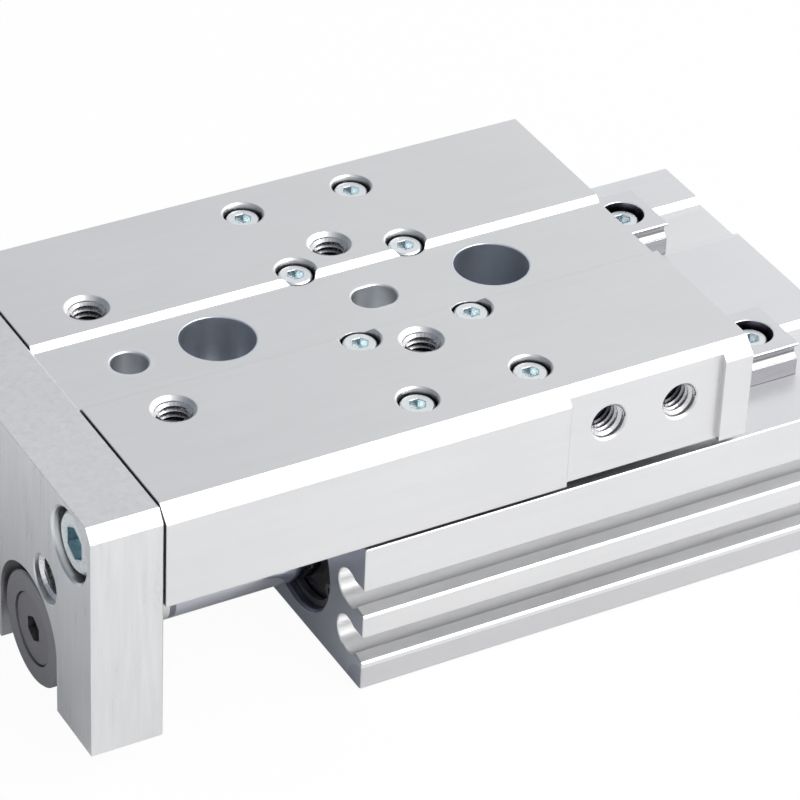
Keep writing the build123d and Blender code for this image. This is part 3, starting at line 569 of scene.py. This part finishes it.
turned = {"colour": (0.60, 0.61, 0.63), "contrast": 0.06, "ringsPerMetre": 9000.0,
          "rough": 0.33, "roughSpread": 0.08, "bump": 0.4}
darkTurned = dict(turned, colour=(0.10, 0.10, 0.13))
discSteel = {"colour": (0.31, 0.30, 0.31), "contrast": 0.12, "ringsPerMetre": 7000.0,
             "rough": 0.34, "roughSpread": 0.08, "bump": 0.4, "metallic": 0.9}
plastics = {
    "capPlastic": {"colour": (0.03, 0.03, 0.035), "contrast": 0.2, "scale": 1500.0,
                   "rough": 0.45, "bump": 0.3},
    "sealRubber": {"colour": (0.018, 0.018, 0.018), "contrast": 0.25, "scale": 900.0,
                   "rough": 0.62, "bump": 0.3},
    "bumperRubber": {"colour": (0.06, 0.06, 0.06), "contrast": 0.2, "scale": 900.0,
                     "rough": 0.7, "bump": 0.3},
    "wearPlastic": {"colour": (0.62, 0.57, 0.46), "contrast": 0.05, "scale": 900.0,
                    "rough": 0.5, "bump": 0.2},
    "magnet": {"colour": (0.035, 0.032, 0.03), "contrast": 0.3, "scale": 2500.0,
               "rough": 0.55, "bump": 0.4},
}
wearers = {
    "tableAnodised": ["table"],
    "plateBrushed": ["end_plate"],
    "bodyAnodised": ["body"],
    "groundSteel": ["carriage_block_near", "carriage_block_far"],
    "railSteel": ["guide_rail_near", "guide_rail_far"],
    "zincPlate": ["rail_screws", "carriage_screws", "end_plate_screws", "carriage_cap_screws",
                  "piston_nuts"],
    "rodChrome": ["piston_rod_near", "piston_rod_far"],
    "ballSteel": ["bearing_balls_near", "bearing_balls_far"],
    "blackSteel": ["front_retaining_rings", "rear_retaining_rings"],
    "washerSteel": ["rod_washers"],
    "discScrewSteel": ["rod_screws"],
    "capPlastic": ["carriage_caps_near", "carriage_caps_far"],
    "sealRubber": ["rod_wipers", "piston_seals", "o_rings", "carriage_seals_near",
                   "carriage_seals_far"],
    "bumperRubber": ["front_bumpers", "rear_bumpers"],
    "magnet": ["piston_magnets"],
    "wearPlastic": ["wear_rings"],
}
for name, look in finishes.items():
    dress(grainedMetal(name, look), *wearers[name])
for name, look in plastics.items():
    dress(mouldedPlastic(name, look), *wearers[name])
for side, y in bores.items():
    centre = (y, places["axisZ"])
    dress(turnedMetal(f"turned_{side}", dict(turned, centre=centre)),
          f"head_cap_{side}", f"piston_{side}")
    dress(turnedMetal(f"darkTurned_{side}", dict(darkTurned, centre=centre)), f"rod_cover_{side}")
    dress(turnedMetal(f"discSteel_{side}", dict(discSteel, centre=centre)), f"rod_disc_{side}")
print("finishes given")


# screw threads in the tapped holes: one ridge each, wound from a small section

ridgeShape = {
    "play": 0.02 * mm,
    "depth": 0.56,
    "rootHalf": 0.44,
    "crestHalf": 0.07,
    "sink": 0.6,
    "runOut": 0.5,
    "steps": 28,
    "merge": 1e-6,
}


def threadRidge(name, thread, mouth, towards, body):
    # the section is drawn in the plane of the hole's axis, then wound down the hole
    pitch = thread["pitch"]
    outer = thread["radius"] - ridgeShape["play"]
    crest = thread["radius"] - ridgeShape["depth"] * pitch
    turns = int(thread["length"] / pitch) - 1
    deselectAll()
    bpy.ops.mesh.primitive_plane_add(size=pitch)
    ridge = bpy.context.object
    ridge.name = name
    root, tip = ridgeShape["rootHalf"] * pitch, ridgeShape["crestHalf"] * pitch
    corners = [(outer, -root), (outer, root), (crest, tip), (crest, -tip)]
    order = sorted(ridge.data.vertices, key=lambda v: math.atan2(v.co.y, v.co.x))
    for vertex, (x, z) in zip(order, corners):
        vertex.co = (x, 0, z)
    wind = ridge.modifiers.new("wind", "SCREW")
    wind.axis = "Z"
    wind.screw_offset = -pitch
    wind.iterations = turns
    wind.steps = ridgeShape["steps"]
    wind.render_steps = ridgeShape["steps"]
    wind.use_merge_vertices = True
    wind.merge_threshold = ridgeShape["merge"]
    bpy.ops.object.modifier_apply(modifier="wind")
    # the crest rises over the first half turn and dies away over the last
    runOut = ridgeShape["runOut"]
    for vertex in ridge.data.vertices:
        radius = math.hypot(vertex.co.x, vertex.co.y)
        along = -vertex.co.z / pitch
        height = min(1, max(0, along / runOut), max(0, (turns - along) / runOut))
        if radius < (outer + crest) / 2:
            wanted = outer + (crest - outer) * height
            vertex.co.x *= wanted / radius
            vertex.co.y *= wanted / radius
    turn = Vector(towards).to_track_quat("Z", "Y").to_matrix().to_4x4()
    start = Vector(mouth) - Vector(towards) * (ridgeShape["sink"] * pitch)
    ridge.matrix_world = Matrix.Translation(start) @ turn
    bpy.ops.object.transform_apply(location=True, rotation=True, scale=True)
    bpy.ops.object.mode_set(mode="EDIT")
    bpy.ops.mesh.select_all(action="SELECT")
    bpy.ops.mesh.normals_make_consistent(inside=False)
    bpy.ops.object.mode_set(mode="OBJECT")
    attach(ridge, body)
    return ridge


threads = {
    "m6": {"radius": 3.0 * mm, "pitch": 1.0 * mm, "length": 8 * mm},
    "m6deep": {"radius": 3.0 * mm, "pitch": 1.0 * mm, "length": 12 * mm},
    "m5": {"radius": 2.5 * mm, "pitch": 0.8 * mm, "length": 6.5 * mm},
    "m8": {"radius": 4.0 * mm, "pitch": 1.25 * mm, "length": 9.5 * mm},
    "m8through": {"radius": 4.0 * mm, "pitch": 1.25 * mm, "length": 11.5 * mm},
}
up, down, nearwards, farwards, forwards = (0, 0, 1), (0, 0, -1), (0, -1, 0), (0, 1, 0), (-1, 0, 0)
tappedHoles = []
for letter, size, x, side in (("A", "m6deep", places["frontThreadX"], -1),
                              ("B", "m6deep", places["frontThreadX"], 1),
                              ("C", "m6", places["rearThreadX"], -1),
                              ("D", "m6", places["rearThreadX"], 1)):
    mouth = (x, side * places["topThreadY"], places["tableTop"])
    tappedHoles.append((f"topThread{letter}", size, mouth, up, "slide_table"))
for letter, x in zip("AB", places["sideThreadX"]):
    mouth = (x, places["sideRecess"], places["sideThreadZ"])
    tappedHoles.append((f"sideThread{letter}", "m6deep", mouth, nearwards, "slide_table"))
for word, side in (("Near", -1), ("Far", 1)):
    mouth = (places["plateFace"], side * places["plateThreadY"], places["plateThreadZ"])
    tappedHoles.append((f"plateThread{word}", "m8through", mouth, forwards, "slide_table"))
for word, x in zip(("Front", "Rear"), places["portX"]):
    mouth = (x, places["bodySide"], places["portZ"])
    tappedHoles.append((f"portThread{word}", "m5", mouth, farwards, "cylinder_body"))
for word, x in zip(("Front", "Rear"), places["bottomThreadX"]):
    tappedHoles.append((f"bottomThread{word}", "m8", (x, 0, 0), down, "cylinder_body"))

# freshly cut metal, with painted shade in the hollows and deeper in the hole, and with a lighter colour
# in the plate's threads as a painted highlight
cutMetal = {
    "colour": (0.66, 0.66, 0.68), "contrast": 0.08, "stretch": plain, "scale": 2500.0,
    "rough": 0.27, "roughSpread": 0.07, "bump": 0.3,
    "paintedHollowShade": dict(hollowShadeLook, reach=2.5 * mm, tone=(0.08, 0.08, 0.1))}
highlightedCut = dict(cutMetal, colour=(0.92, 0.92, 0.94), paintedHollowShade=dict(cutMetal["paintedHollowShade"], to=0.3))
holeDepthShade = {"clear": 2.0 * mm, "fade": 2.5 * mm, "tone": (0.05, 0.05, 0.07)}
for name, size, mouth, towards, bodyName in tappedHoles:
    ridge = threadRidge(name, threads[size], mouth, towards, bodyName)
    # painted shade that deepens with the depth in the hole
    shallow = Vector(mouth).dot(Vector(towards)) - holeDepthShade["clear"]
    depth = {"towards": towards, "deep": shallow - holeDepthShade["fade"], "shallow": shallow,
             "tone": holeDepthShade["tone"]}
    look = highlightedCut if size == "m8through" else cutMetal
    ridge.data.materials.append(grainedMetal(f"cut_{name}", dict(look, depth=depth)))
print("threads wound:", len(tappedHoles))
